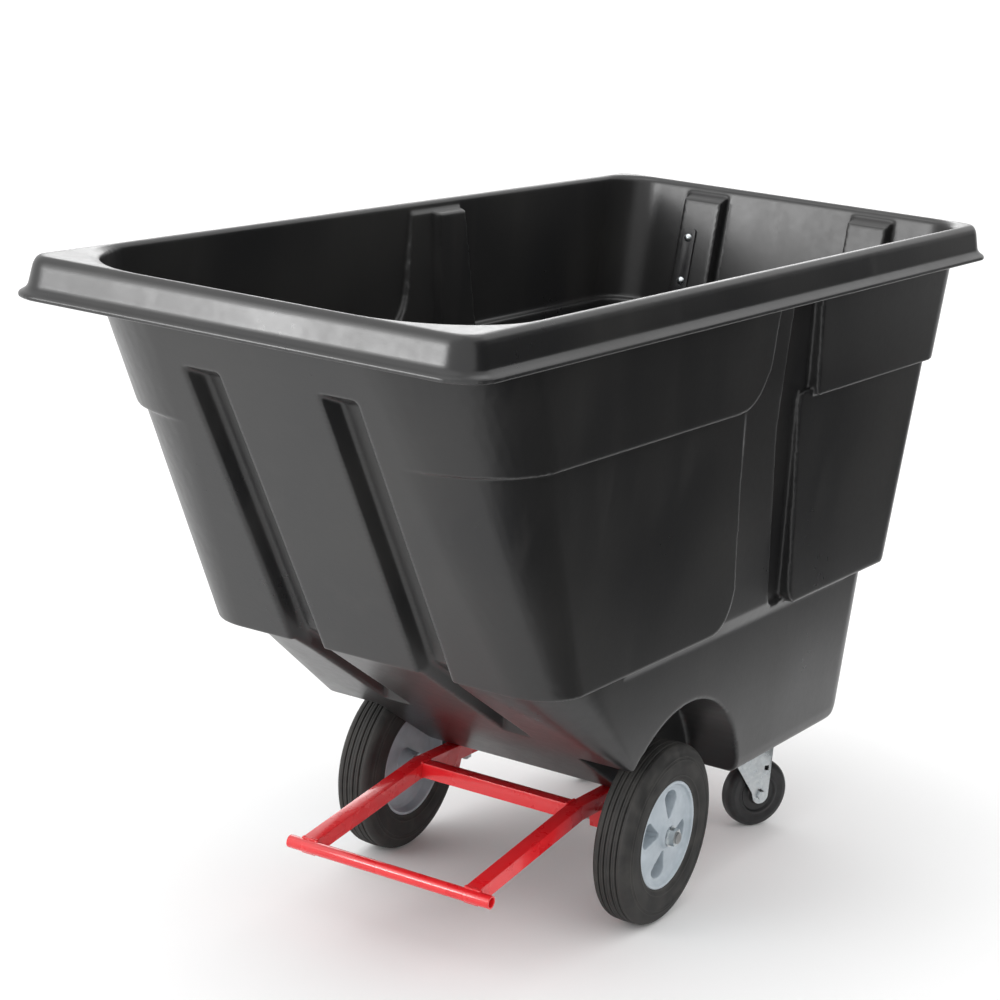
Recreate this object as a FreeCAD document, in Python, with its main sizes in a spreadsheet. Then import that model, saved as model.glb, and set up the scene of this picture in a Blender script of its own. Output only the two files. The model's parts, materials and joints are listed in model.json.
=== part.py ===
"""One cubic yard tilt truck: a thin-walled plastic hopper on a welded steel tube frame with two large
wheels on a fixed axle, two swivel casters at the rear and a push handle behind the rear wall.

Every solid is built about the point on the ground under the middle of the axle. The placements then move
the whole truck along Y, so that the origin is on the ground below the middle of its bounding box.
X is the width, Y the length with the dumping end at -Y, and Z is up. Lengths are millimetres.
"""
import FreeCAD
import Part
import math
import os
import Sketcher

Vec = FreeCAD.Vector
X_AXIS = Vec(1, 0, 0)
Y_AXIS = Vec(0, 1, 0)
Z_AXIS = Vec(0, 0, 1)

SIZES = {
    # placement of the whole truck
    "axle_offset": -14.0,
    # hopper: skin, heights and half widths
    "skin": 6.0,
    "floor_height": 200.0,
    "panel_height": 500.0,
    "ledge_height": 866.0,
    "lip_plane_height": 1043.0,
    "rim_height": 1096.0,
    "upper_half_low": 346.0,
    "upper_half_high": 352.0,
    "lower_half_low": 322.0,
    "lower_half_high": 333.0,
    "core_half_floor": 285.0,
    "core_half_lip": 323.4,
    "band_half_low": 306.0,
    "band_half_lip": 345.0,
    "groove_half_low": 297.0,
    "groove_half_lip": 335.0,
    # hopper: front wall, rear wall and underside
    "front_foot": -497.0,
    "front_angle": 33.1,
    "underside_start": -488.0,
    "underside_angle": 31.1,
    "rear_floor": 672.0,
    "rear_panel_low": 722.0,
    "rear_panel_high": 780.0,
    "rear_upper_low": 797.0,
    "rear_upper_high": 824.0,
    "rear_channel_low": 697.0,
    "rear_channel_high": 797.0,
    "rear_channel_inner": 135.0,
    "rear_channel_outer": 200.0,
    "front_corner_low": 80.0,
    "front_corner_high": 181.0,
    "rear_corner_upper": 80.0,
    "rear_corner_lower": 66.0,
    "body_corner_high": 146.0,
    "body_corner_low": 8.0,
    "rear_sweep_radius": 110.0,
    "underside_sweep_radius": 90.0,
    # hopper: grooves and wheel wells
    "front_groove_centre": 114.5,
    "front_groove_half": 30.5,
    "front_groove_depth": 27.0,
    "front_groove_top": 965.0,
    "under_groove_centre": 112.0,
    "under_groove_half": 25.0,
    "under_groove_depth": 22.0,
    "under_groove_end": 300.0,
    "well_radius": 230.0,
    "well_inner": 190.0,
    # hopper: rim
    "lip_half": 388.0,
    "lip_front": -903.0,
    "lip_rear": 869.0,
    "lip_thickness": 7.0,
    "lip_corner_radius": 58.0,
    "rib_top_low": 1062.0,
    "rib_top_high": 1080.0,
    "crest_inset": 31.0,
    # frame
    "tube_side": 25.4,
    "tube_wall": 2.0,
    "rail_centre": 151.7,
    "rail_height": 187.3,
    "rail_end": 560.0,
    "bend_position": -89.0,
    "front_bar_position": -404.0,
    "front_bar_height": 137.0,
    "front_bar_radius": 10.65,
    "front_bar_bore": 7.9,
    "front_bar_half": 188.0,
    "rear_tube_position": 546.0,
    # axle and brackets
    "axle_height": 152.4,
    "axle_radius": 9.525,
    "axle_half": 296.0,
    "bracket_length": 50.0,
    "bracket_depth": 37.0,
    "spacer_radius": 15.0,
    # main wheels
    "tyre_radius": 152.4,
    "tyre_half_width": 35.0,
    "tyre_bore": 91.0,
    "wheel_centre": 247.0,
    "hub_half_width": 29.0,
    "hub_ring_inner": 84.0,
    "hub_disc_front": 21.0,
    "hub_disc_back": -9.0,
    "hub_boss_radius": 20.0,
    "hub_boss_half": 33.0,
    "hub_pocket_depth": 24.0,
    "bushing_radius": 12.7,
    "running_gap": 0.06,
    # casters
    "caster_across": 166.0,
    "caster_along": 489.0,
    "caster_wheel_radius": 63.5,
    "caster_wheel_half": 16.0,
    "caster_trail": 38.0,
    "caster_turn_near": -30.0,
    "caster_turn_far": -18.0,
    "caster_plate_x": 102.0,
    "caster_plate_y": 114.0,
    "caster_plate_thickness": 3.0,
    "mount_x": 122.0,
    "mount_y": 126.0,
    "mount_thickness": 6.0,
    "caster_bolt_x": 38.0,
    "caster_bolt_y": 36.0,
    "fork_thickness": 3.0,
    "fork_inner_half": 19.0,
    "fork_top_height": 152.0,
    "kingpin_radius": 6.0,
    "kingpin_head": 11.0,
    "kingpin_head_depth": 4.1,
    "caster_axle_radius": 5.0,
    # push handle
    "handle_across": 182.0,
    "handle_reach": 918.3,
    "handle_height": 900.0,
    "handle_tube_radius": 12.7,
    "handle_tube_bore": 10.7,
    "handle_bolt_low": 918.0,
    "handle_bolt_high": 998.0,
    "handle_bolt_radius": 4.0,
    "plate_width": 27.0,
    "plate_length": 116.0,
    "plate_thickness": 4.0,
    # floor bolts
    "floor_bolt_radius": 5.0,
    "floor_bolt_first": 60.0,
    "floor_bolt_pitch": 160.0,
}

document = FreeCAD.newDocument("tilt_truck")
sheet = document.addObject("Spreadsheet::Sheet", "Dimensions")
for row, (name, value) in enumerate(SIZES.items(), start=1):
    sheet.set(f"A{row}", name)
    sheet.set(f"B{row}", str(value))
    sheet.setAlias(f"B{row}", name)
document.recompute()

pieces = []


def size(alias):
    """The number held in the sheet under this alias."""
    return float(sheet.get(alias))


class Length:
    """A number together with the sheet expression that it comes from."""

    def __init__(self, value, text):
        self.value = float(value)
        self.text = text

    def __add__(self, other):
        other = as_length(other)
        return Length(self.value + other.value, f"({self.text} + {other.text})")

    def __sub__(self, other):
        other = as_length(other)
        return Length(self.value - other.value, f"({self.text} - {other.text})")

    def __mul__(self, other):
        other = as_length(other)
        return Length(self.value * other.value, f"({self.text} * {other.text})")

    def __neg__(self):
        return Length(-self.value, f"(0 - {self.text})")


def as_length(number):
    """Wrap a plain number so that it can stand beside sheet values."""
    if isinstance(number, Length):
        return number
    return Length(number, repr(float(number)))


def dim(alias):
    """A sheet value for use in a sketch or a feature."""
    return Length(size(alias), f"Dimensions.{alias}")


def bind(feature, field, length):
    """Set a feature property and tie it to its sheet expression."""
    length = as_length(length)
    setattr(feature, field, length.value)
    feature.setExpression(field, length.text)


def tie(sketch, kind, geometry, point, length):
    """Hold one coordinate of a sketch point to its sheet expression."""
    length = as_length(length)
    if abs(length.value) < 1e-9:
        axis = -2 if kind == "DistanceX" else -1
        sketch.addConstraint(Sketcher.Constraint("PointOnObject", geometry, point, axis))
        return
    number = sketch.addConstraint(Sketcher.Constraint(kind, -1, 1, geometry, point, length.value))
    sketch.setExpression(f"Constraints[{number}]", length.text)


def new_body(label):
    """An empty body whose label names the node."""
    body = document.addObject("PartDesign::Body", label)
    body.Label = label
    return body


def new_sketch(body, name, role, offset=0.0):
    """A sketch on one of the body's own origin planes, moved along the plane's normal."""
    sketch = body.newObject("Sketcher::SketchObject", name)
    plane = next(item for item in body.Origin.OriginFeatures if item.Role == role)
    sketch.AttachmentSupport = [(plane, "")]
    sketch.MapMode = "FlatFace"
    sketch.AttachmentOffset = FreeCAD.Placement(Vec(0, 0, offset), FreeCAD.Rotation())
    return sketch


def add_polygon(sketch, corners):
    """A closed polygon whose corners are tied to the sheet."""
    lines = []
    for index, (u, v) in enumerate(corners):
        next_u, next_v = corners[(index + 1) % len(corners)]
        start = Vec(as_length(u).value, as_length(v).value, 0)
        end = Vec(as_length(next_u).value, as_length(next_v).value, 0)
        lines.append(sketch.addGeometry(Part.LineSegment(start, end), False))
    for index, (u, v) in enumerate(corners):
        tie(sketch, "DistanceX", lines[index], 1, u)
        tie(sketch, "DistanceY", lines[index], 1, v)
        sketch.addConstraint(Sketcher.Constraint("Coincident", lines[index - 1], 2, lines[index], 1))


def add_circle(sketch, u, v, radius):
    """A circle whose centre and radius are tied to the sheet."""
    u, v, radius = as_length(u), as_length(v), as_length(radius)
    number = sketch.addGeometry(Part.Circle(Vec(u.value, v.value, 0), Z_AXIS, radius.value), False)
    tie(sketch, "DistanceX", number, 3, u)
    tie(sketch, "DistanceY", number, 3, v)
    held = sketch.addConstraint(Sketcher.Constraint("Radius", number, radius.value))
    sketch.setExpression(f"Constraints[{held}]", radius.text)


def box_corners(half_u, half_v):
    """The four corners of a rectangle about the sketch origin."""
    half_u, half_v = as_length(half_u), as_length(half_v)
    return [(-half_u, -half_v), (half_u, -half_v), (half_u, half_v), (-half_u, half_v)]


def pad(body, sketch, length, symmetric=True, backwards=False):
    """Pad a sketch, to both sides unless told otherwise."""
    feature = body.newObject("PartDesign::Pad", "Pad")
    feature.Profile = sketch
    feature.SideType = "Symmetric" if symmetric else "One side"
    feature.Reversed = backwards
    bind(feature, "Length", length)
    document.recompute()
    return feature


def pocket(body, sketch, length, symmetric=True, backwards=False):
    """Pocket a sketch and make sure that the cut removes material."""
    before = body.Shape.Volume
    feature = body.newObject("PartDesign::Pocket", "Pocket")
    feature.Profile = sketch
    feature.SideType = "Symmetric" if symmetric else "One side"
    feature.Reversed = backwards
    bind(feature, "Length", length)
    document.recompute()
    if body.Shape.Volume >= before - 1e-3:
        raise RuntimeError(f"{body.Label}: {sketch.Name} cuts nothing")
    return feature


def revolve(body, sketch, kind="PartDesign::Revolution"):
    """Turn a sketch on the XY plane about its own horizontal axis."""
    before = body.Shape.Volume if kind.endswith("Groove") else 0.0
    feature = body.newObject(kind, "Turned")
    feature.Profile = sketch
    feature.ReferenceAxis = (sketch, ["H_Axis"])
    feature.Angle = 360.0
    document.recompute()
    if kind.endswith("Groove") and body.Shape.Volume >= before - 1e-3:
        raise RuntimeError(f"{body.Label}: {sketch.Name} cuts nothing")
    return feature


def round_edges(body, radius, chosen):
    """Fillet every edge of the body's tip for which chosen(edge) holds."""
    tip = body.Tip
    names = [f"Edge{number}" for number, edge in enumerate(tip.Shape.Edges, start=1) if chosen(edge)]
    if not names:
        raise RuntimeError(f"{body.Label}: no edge to round")
    feature = body.newObject("PartDesign::Fillet", "Rounded")
    feature.Base = (tip, names)
    bind(feature, "Radius", radius)
    document.recompute()
    return feature


def settle(item, x=0.0, y=0.0, z=0.0, rotation=None):
    """Place a finished piece and enter it in the list of nodes."""
    turn = rotation if rotation is not None else FreeCAD.Rotation()
    item.Placement = FreeCAD.Placement(Vec(x, y + size("axle_offset"), z), turn)
    pieces.append(item)
    return item


def shaped(label, shape, x=0.0, y=0.0, z=0.0, rotation=None):
    """A piece whose shape is built by code from the sheet's values."""
    item = document.addObject("Part::Feature", label)
    item.Label = label
    item.Shape = shape
    return settle(item, x, y, z, rotation)


# ---------------------------------------------------------------- shared shape helpers


def between(value, low, at_low, high, at_high):
    """Straight-line value between two heights, continued beyond them."""
    return at_low + (value - low) * (at_high - at_low) / (high - low)


def rounded_edges(corners, closed=True):
    """Lines and arcs through (point, radius) corners, each corner rounded by its own radius."""
    count = len(corners)
    joints = []
    for index, (corner, radius) in enumerate(corners):
        at_end = not closed and index in (0, count - 1)
        if radius <= 0 or at_end:
            joints.append((corner, None, corner))
            continue
        back = (corners[index - 1][0] - corner).normalize()
        ahead = (corners[(index + 1) % count][0] - corner).normalize()
        half = back.getAngle(ahead) / 2
        reach = radius / math.tan(half)
        centre = corner + (back + ahead).normalize() * (radius / math.sin(half))
        middle = centre + (corner - centre).normalize() * radius
        joints.append((corner + back * reach, middle, corner + ahead * reach))
    edges = []
    for index, (arrive, middle, leave) in enumerate(joints):
        if middle is not None:
            edges.append(Part.Arc(arrive, middle, leave).toShape())
        if closed or index < count - 1:
            following = joints[(index + 1) % count][0]
            if leave.distanceToPoint(following) > 1e-6:
                edges.append(Part.LineSegment(leave, following).toShape())
    return edges


def side_prism(outline, low_x, high_x):
    """A prism along X from a closed outline of (y, z, radius) corners."""
    corners = [(Vec(low_x, y, z), radius) for y, z, radius in outline]
    face = Part.Face(Part.Wire(rounded_edges(corners)))
    return face.extrude(Vec(high_x - low_x, 0, 0))


def level(height, half_width, front, rear, front_radius, rear_radius):
    """A level rounded rectangle, seen from above."""
    corners = [
        (Vec(-half_width, front, height), front_radius),
        (Vec(half_width, front, height), front_radius),
        (Vec(half_width, rear, height), rear_radius),
        (Vec(-half_width, rear, height), rear_radius),
    ]
    return rounded_edges(corners)


def stack(outlines):
    """A solid through a stack of similar outlines: flat between lines and ruled between arcs."""
    faces = [Part.Face(Part.Wire(outlines[0])), Part.Face(Part.Wire(outlines[-1]))]
    for below, above in zip(outlines, outlines[1:]):
        for low, high in zip(below, above):
            if isinstance(low.Curve, Part.Line):
                corners = [low.firstVertex().Point, low.lastVertex().Point,
                           high.lastVertex().Point, high.firstVertex().Point]
                faces.append(Part.Face(Part.makePolygon(corners + [corners[0]])))
            else:
                faces.append(Part.makeRuledSurface(low, high))
    shell = Part.makeShell(faces)
    shell.sewShape()
    solid = Part.makeSolid(Part.Shell(shell.Faces))
    if solid.Volume < 0:
        solid.reverse()
    return solid


def cylinder(radius, start, end):
    """A round bar from one point to another."""
    axis = end - start
    return Part.makeCylinder(radius, axis.Length, start, axis)


def hexagon(across_flats, start, end):
    """A hexagonal bar from one point to another."""
    axis = end - start
    side = Vec(0, 0, 1) if abs(axis.z) < 0.9 * axis.Length else Vec(1, 0, 0)
    u = axis.cross(side).normalize()
    v = axis.cross(u).normalize()
    reach = across_flats / math.sqrt(3)
    points = []
    for step in range(7):
        angle = math.radians(60 * step)
        points.append(start + u * (reach * math.cos(angle)) + v * (reach * math.sin(angle)))
    return Part.Face(Part.makePolygon(points)).extrude(axis)


def bolt(radius, head_across, head_height, under_head, end):
    """A hexagon-headed bolt; the shank runs from under_head to end."""
    outward = (under_head - end).normalize()
    head = hexagon(head_across, under_head, under_head + outward * head_height)
    return head.fuse(cylinder(radius, under_head, end))


def nut(bore, across, start, end):
    """A hexagon nut between two points of its axis."""
    return hexagon(across, start, end).cut(cylinder(bore, start, end))


def ring(outer, inner, start, end):
    """A plain ring between two points of its axis."""
    return cylinder(outer, start, end).cut(cylinder(inner, start, end))


def at_both_sides(distance):
    """The same distance on the left and on the right."""
    return (-distance, distance)


def mirrored(shape):
    """The same shape on the other side of the truck."""
    return shape.mirror(Vec(0, 0, 0), X_AXIS)


# ---------------------------------------------------------------- hopper


def side_of_upper(height):
    return between(height, size("ledge_height"), size("upper_half_low"),
                   size("lip_plane_height"), size("upper_half_high"))


def side_of_lower(height):
    return between(height, size("panel_height"), size("lower_half_low"),
                   size("ledge_height"), size("lower_half_high"))


def side_of_core(height):
    return between(height, size("floor_height"), size("core_half_floor"),
                   size("lip_plane_height"), size("core_half_lip"))


def side_of_band(height):
    """Half width of the flat band between the front panels and the side groove."""
    return between(height, size("panel_height"), size("band_half_low"),
                   size("lip_plane_height"), size("band_half_lip"))


def side_of_groove(height):
    """Half width at the bottom of the side groove."""
    return between(height, size("panel_height"), size("groove_half_low"),
                   size("lip_plane_height"), size("groove_half_lip"))


def front_corner(height):
    """Corner radius of the front wall, seen from above: it opens out towards the rim."""
    return between(min(height, size("lip_plane_height")), size("panel_height"), size("front_corner_low"),
                   size("lip_plane_height"), size("front_corner_high"))


def lower_front_corner(height):
    """The same below the ledge, where it grows a little faster."""
    ledge = size("ledge_height")
    return between(height, size("panel_height"), size("front_corner_low"), ledge, front_corner(ledge) + 3)


def front_wall(height):
    slope = math.tan(math.radians(size("front_angle")))
    foot = size("front_foot") - (min(height, size("lip_plane_height")) - size("panel_height")) * slope
    return foot - max(height - size("lip_plane_height"), 0.0) * 0.19


def rear_of_upper(height):
    return between(height, size("ledge_height"), size("rear_upper_low"),
                   size("lip_plane_height"), size("rear_upper_high"))


def rear_of_lower(height):
    return between(height, size("panel_height"), size("rear_panel_low"),
                   size("ledge_height"), size("rear_panel_high"))


def rear_of_body(height):
    return between(height, size("floor_height"), size("rear_floor"), size("panel_height"), 690.0)


def rear_of_channel(height):
    return between(height, size("panel_height"), size("rear_channel_low"),
                   size("lip_plane_height"), size("rear_channel_high"))


def upper_block(inset):
    """The band above the ledge, with the whole front and rear wall at that height."""
    slant = inset / math.cos(math.radians(size("front_angle")))
    wires = []
    for height in (size("ledge_height") - 5 + inset, size("lip_plane_height"), size("rim_height") - 5):
        wires.append(level(height, side_of_upper(height) - inset, front_wall(height) + slant,
                           rear_of_upper(height) - inset, front_corner(height) - inset,
                           size("rear_corner_upper") - inset))
    return stack(wires)


def lower_block(inset):
    """The band between the panels' lower edge and the ledge."""
    slant = inset / math.cos(math.radians(size("front_angle")))
    wires = []
    for height in (size("panel_height") - 5 + inset, size("ledge_height") + 34):
        wires.append(level(height, side_of_lower(height) - inset, front_wall(height) + slant,
                           rear_of_lower(height) - inset, lower_front_corner(height) - inset,
                           size("rear_corner_lower") - inset))
    return stack(wires)


def panel_edge(height, at_panel, at_ledge):
    return between(height, size("panel_height"), at_panel, size("ledge_height"), at_ledge)


def front_panels(inset):
    """Front wall and front side panels, which end at the side channel with rounded corners."""
    top = size("rim_height") + 20
    ledge = size("ledge_height")
    panel = size("panel_height")
    upper = side_prism([(-1000, ledge + 4 + inset, 0), (57 - inset, ledge + 4 + inset, 90 - inset),
                        (79 - inset, top, 0), (-1000, top, 0)], -500, 500)
    lower = side_prism([(-1000, panel + inset, 0), (71 - inset, panel + inset, 64 - inset),
                        (13 - inset, ledge, 0), (7 - inset, ledge + 40, 0),
                        (-1000, ledge + 40, 0)], -500, 500)
    return upper_block(inset).common(upper).fuse(lower_block(inset).common(lower))


def rear_panels(inset):
    """Rear wall and rear side panels, with the two outer channels that take the handle."""
    top = size("rim_height") + 20
    ledge = size("ledge_height")
    panel = size("panel_height")
    upper = side_prism([(256 + inset, ledge - 10 + inset, 22), (208 + inset, top, 0),
                        (1000, top, 0), (1000, ledge - 10 + inset, 0)], -500, 500)
    lower = side_prism([(281 + inset, panel - 10 + inset, 46 - inset), (211 + inset, ledge + 4 - inset, 14),
                        (270 + inset, ledge + 4 - inset, 0), (270 + inset, ledge + 34, 0),
                        (1000, ledge + 34, 0), (1000, panel - 10 + inset, 0)], -500, 500)
    walls = upper_block(inset).common(upper).fuse(lower_block(inset).common(lower))
    channel_width = size("rear_channel_outer") - size("rear_channel_inner") + 2 * inset
    channel = Part.makeBox(channel_width, 500, 1000,
                           Vec(size("rear_channel_inner") - inset, 600, panel - 50))
    walls = walls.cut(channel).cut(mirrored(channel))
    wires = []
    for height in (panel + inset, size("rim_height") - 5):
        wires.append(level(height, 290, 300, rear_of_channel(height) - inset, 0, 0))
    return walls.fuse(stack(wires))


def core(inset):
    """The flat band of the sides and, further in, the bottom of the groove beside the rear panels."""
    top = size("rim_height") - 5
    panel = size("panel_height")
    band = [level(panel - 25, side_of_core(panel - 25) - 2 - inset, -250, 560, 0, 0)]
    groove = []
    for height in (panel + 5, top):
        band.append(level(height, side_of_band(height) - inset, -250, 560, 0, 0))
    for height in (panel - 30, top):
        groove.append(level(height, side_of_groove(height) - inset, 60, 330, 0, 0))
    return stack(band), stack(groove)


def side_groove(inset):
    """Cutters for the side grooves: each bends and narrows downwards to a round foot."""
    foot = size("panel_height") - 3 - inset
    bottom = size("groove_half_low")
    outlines = []
    for half, shift in ((0, 0), (bottom, 0), (500, 500 - bottom)):
        corners = [(181 - inset - shift, 1110, 0), (176 - inset - shift, 816, 150),
                   (240 - inset - shift, foot, 26), (290, foot, 26), (300, foot + 63, 0), (300, 1110, 0)]
        outlines.append(rounded_edges([(Vec(half, y, z), radius) for y, z, radius in corners]))
    groove = stack(outlines)
    return groove.fuse(mirrored(groove))


def front_of_body(height, inset):
    """Front edge of the hull: upright, then the sloping underside, then the sweep into the floor."""
    angle = math.radians(size("underside_angle"))
    radius = size("underside_sweep_radius")
    base = size("floor_height") + inset
    rise = size("panel_height") - base + inset / math.cos(angle)
    foot = size("underside_start") + rise / math.tan(angle)
    if height < base + radius * (1 - math.cos(angle)):
        centre = foot + radius * math.tan(angle / 2)
        return centre - math.sqrt(radius ** 2 - (base + radius - height) ** 2)
    return max(foot - (height - base) / math.tan(angle), size("underside_start") + inset)


def body_corner(height):
    """Corner radius of the hull's front, seen from above: wide at the panels and tight below."""
    drop = size("panel_height") - min(height, size("panel_height"))
    return max(size("body_corner_high") - 0.714 * drop, size("body_corner_low"))


def lower_body(inset):
    """The hull under the panels: sloping underside, flat floor and a large rear sweep."""
    floor = size("floor_height")
    panel = size("panel_height")
    top = panel + 45
    angle = math.radians(size("underside_angle"))
    tight = panel - (size("body_corner_high") - size("body_corner_low")) / 0.714
    upright = panel + inset / math.cos(angle) - inset * math.tan(angle)
    foot_curve = [(0, 17), (2, 12.5), (5, 8), (9, 4.8), (14, 2.5), (28, 0)]
    heights = [(floor + inset + rise, tuck) for rise, tuck in foot_curve]
    heights += [(tight, 0), (min(panel, upright) - 0.5, 0), (panel + 6, 0), (top, 0)]
    wires = []
    for height, tuck in heights:
        corner = max(body_corner(height) - inset, 2)
        wires.append(level(height, side_of_core(height) - inset - tuck, front_of_body(height, inset),
                           rear_of_body(height) - inset, corner, 80 - inset - tuck))
    outline = [(-1000, top, 0), (-1000, floor + inset, 0),
               (rear_of_body(floor) - inset, floor + inset, size("rear_sweep_radius") - inset),
               (rear_of_body(top) - inset, top, 0)]
    return stack(wires).common(side_prism(outline, -500, 500))


def wheel_wells(inset):
    """Round arches over the main wheels."""
    inner = size("well_inner") - inset
    well = Part.makeCylinder(size("well_radius") + inset, 300, Vec(inner, 0, size("axle_height")), X_AXIS)
    return [well, mirrored(well)]


def wedge_groove(centre_x, half_width, depth, draft, start, end, origin, along, outward):
    """A tapered groove cutter that lies along a sloping wall; one end may be ramped."""
    wires = []
    for rise in (12.0, -depth):
        shrink = rise * draft / depth
        low = start[0] - rise * start[1]
        high = end[0] + rise * end[1]
        points = []
        for across, run in ((-1, low), (1, low), (1, high), (-1, high)):
            x = centre_x + across * (half_width + shrink)
            points.append(Vec(x, 0, 0) + origin + along * run + outward * rise)
        wires.append(rounded_edges([(point, 0) for point in points]))
    return stack(wires)


def front_grooves(inset):
    """The two long grooves of the front wall and the two that carry on along the underside."""
    angle = math.radians(size("front_angle"))
    along = Vec(0, math.sin(angle), -math.cos(angle))
    outward = Vec(0, -math.cos(angle), -math.sin(angle))
    top = size("front_groove_top")
    origin = Vec(0, front_wall(top), top)
    run = (top - size("panel_height")) / math.cos(angle)
    wall_groove = wedge_groove(size("front_groove_centre"), size("front_groove_half") + inset,
                               size("front_groove_depth") + inset, 10.0, (-inset, 1.3),
                               (run + 30 + inset, 0.0), origin, along, outward)
    tilt = math.radians(size("underside_angle"))
    along = Vec(0, math.cos(tilt), -math.sin(tilt))
    outward = Vec(0, -math.sin(tilt), -math.cos(tilt))
    origin = Vec(0, size("underside_start"), size("panel_height"))
    under_groove = wedge_groove(size("under_groove_centre"), size("under_groove_half") + inset,
                                size("under_groove_depth") + inset, 8.0, (-40, 0.0),
                                (size("under_groove_end") + inset, 1.5), origin, along, outward)
    return [wall_groove, mirrored(wall_groove), under_groove, mirrored(under_groove)]


def hopper_skin(inset):
    """The closed body of the hopper, drawn in by the inset on every wall."""
    wide_core, deep_core = core(inset)
    middle = wide_core.fuse(lower_body(inset)).cut(side_groove(inset)).fuse(deep_core)
    body = front_panels(inset).fuse(rear_panels(inset)).fuse(middle)
    for cutter in front_grooves(inset) + wheel_wells(inset):
        body = body.cut(cutter)
    return body


def rim_level(height, inset):
    """An outline of the rim, drawn in from the edge of the lip."""
    radius = size("lip_corner_radius") - inset
    return level(height, size("lip_half") - inset, size("lip_front") + inset,
                 size("lip_rear") - inset, radius, radius)


def rolled_rim():
    """The hollow rolled rim with its thin lip, open underneath, not yet opened on the inside."""
    lip = size("lip_plane_height")
    foot = lip - size("lip_thickness")
    top = size("rim_height")
    outside = [(foot, 0), (lip, 0), (lip + 4, 8), (lip + 9, 13), (lip + 40, 19), (lip + 48, 22.5),
               (top - 1, 27), (top, size("crest_inset"))]
    hollow = [(foot - 6, 19), (lip + 34, 25), (lip + 42, 28.5), (top - 7.5, 33), (top - 6, 38)]
    solid = stack([rim_level(height, inset) for height, inset in outside])
    gutter = stack([rim_level(height, inset) for height, inset in hollow])
    below_platform = Part.makeBox(1000, 2000, 100, Vec(-500, -1000, size("rib_top_low") - 106))
    rib_hollow = upper_block(0).common(below_platform)
    return solid.cut(gutter.cut(upper_block(0))).cut(rib_hollow.cut(hopper_skin(0)))


def mouth():
    """The flare that opens the hopper: it slopes over the ribs, follows the walls and widens to the crest."""
    skin = size("skin")
    slant = skin / math.cos(math.radians(size("front_angle")))
    top = size("rim_height")
    wires = []
    for height, further_in in ((size("rib_top_low"), 52), (size("rib_top_high"), 0), (top - 5, 0)):
        wires.append(level(height, side_of_upper(height) - skin - further_in,
                           front_wall(height) + slant + further_in,
                           rear_of_upper(height) - skin - further_in,
                           front_corner(height) - skin - further_in,
                           size("rear_corner_upper") - skin - further_in))
    for height, inset in ((top - 2, 6.5), (top + 1, 1)):
        reach = size("crest_inset") + inset
        wires.append(level(height, size("lip_half") - reach, size("lip_front") + reach,
                           size("lip_rear") - reach, front_corner(height) - inset,
                           size("rear_corner_upper") - inset))
    return stack(wires)


def floor_bolt_points():
    """Centres of the bolts that hold the hopper down on the rails."""
    points = []
    for x in at_both_sides(size("rail_centre")):
        for number in range(3):
            points.append((x, size("floor_bolt_first") + number * size("floor_bolt_pitch")))
    return points


def channel_direction():
    """Unit vector up the outer channel of the rear wall."""
    rise = size("lip_plane_height") - size("panel_height")
    run = size("rear_channel_high") - size("rear_channel_low")
    return Vec(0, run, rise).normalize()


def channel_normal():
    """Outward unit vector of the channel floor."""
    up = channel_direction()
    return Vec(0, up.z, -up.y)


def handle_bolt_points():
    """Points on the channel floor where the handle bolts go through."""
    points = []
    for x in at_both_sides(size("handle_across")):
        for alias in ("handle_bolt_low", "handle_bolt_high"):
            height = size(alias)
            points.append(Vec(x, rear_of_channel(height), height))
    return points


def hopper():
    """The whole hopper: skin, rim, mouth and bolt holes."""
    body = hopper_skin(0).fuse(rolled_rim()).cut(hopper_skin(size("skin"))).cut(mouth())
    floor = size("floor_height")
    for x, y in floor_bolt_points():
        hole = cylinder(size("floor_bolt_radius") + 0.3, Vec(x, y, floor - 5), Vec(x, y, floor + 15))
        body = body.cut(hole)
    outward = channel_normal()
    for point in handle_bolt_points():
        hole = cylinder(size("handle_bolt_radius") + 0.3, point - outward * 15, point + outward * 10)
        body = body.cut(hole)
    body = body.removeSplitter()
    if len(body.Solids) != 1:
        body = max(body.Solids, key=lambda solid: solid.Volume)
    return body.Solids[0]


shaped("hopper", hopper())


# ---------------------------------------------------------------- frame


def rail(label, side):
    """A square tube that runs level under the floor and bends down to the front bar."""
    body = new_body(label)
    outer = dim("tube_side") * 0.5
    inner = outer - dim("tube_wall")
    sketch = new_sketch(body, "Outline", "YZ_Plane")
    add_polygon(sketch, band_corners(outer, 0.0))
    pad(body, sketch, dim("tube_side"))
    bore = new_sketch(body, "Bore", "YZ_Plane")
    add_polygon(bore, band_corners(inner, 20.0))
    pocket(body, bore, inner * 2)
    cope = new_sketch(body, "Cope", "YZ_Plane")
    add_circle(cope, dim("front_bar_position"), dim("front_bar_height"), dim("front_bar_radius"))
    pocket(body, cope, dim("tube_side") * 3)
    bolts = new_sketch(body, "BoltHoles", "XY_Plane")
    for number in range(3):
        along = dim("floor_bolt_first") + dim("floor_bolt_pitch") * number
        add_circle(bolts, 0, along, dim("floor_bolt_radius") + 0.3)
    pocket(body, bolts, 1000)
    return settle(body, x=side * size("rail_centre"))


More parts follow.
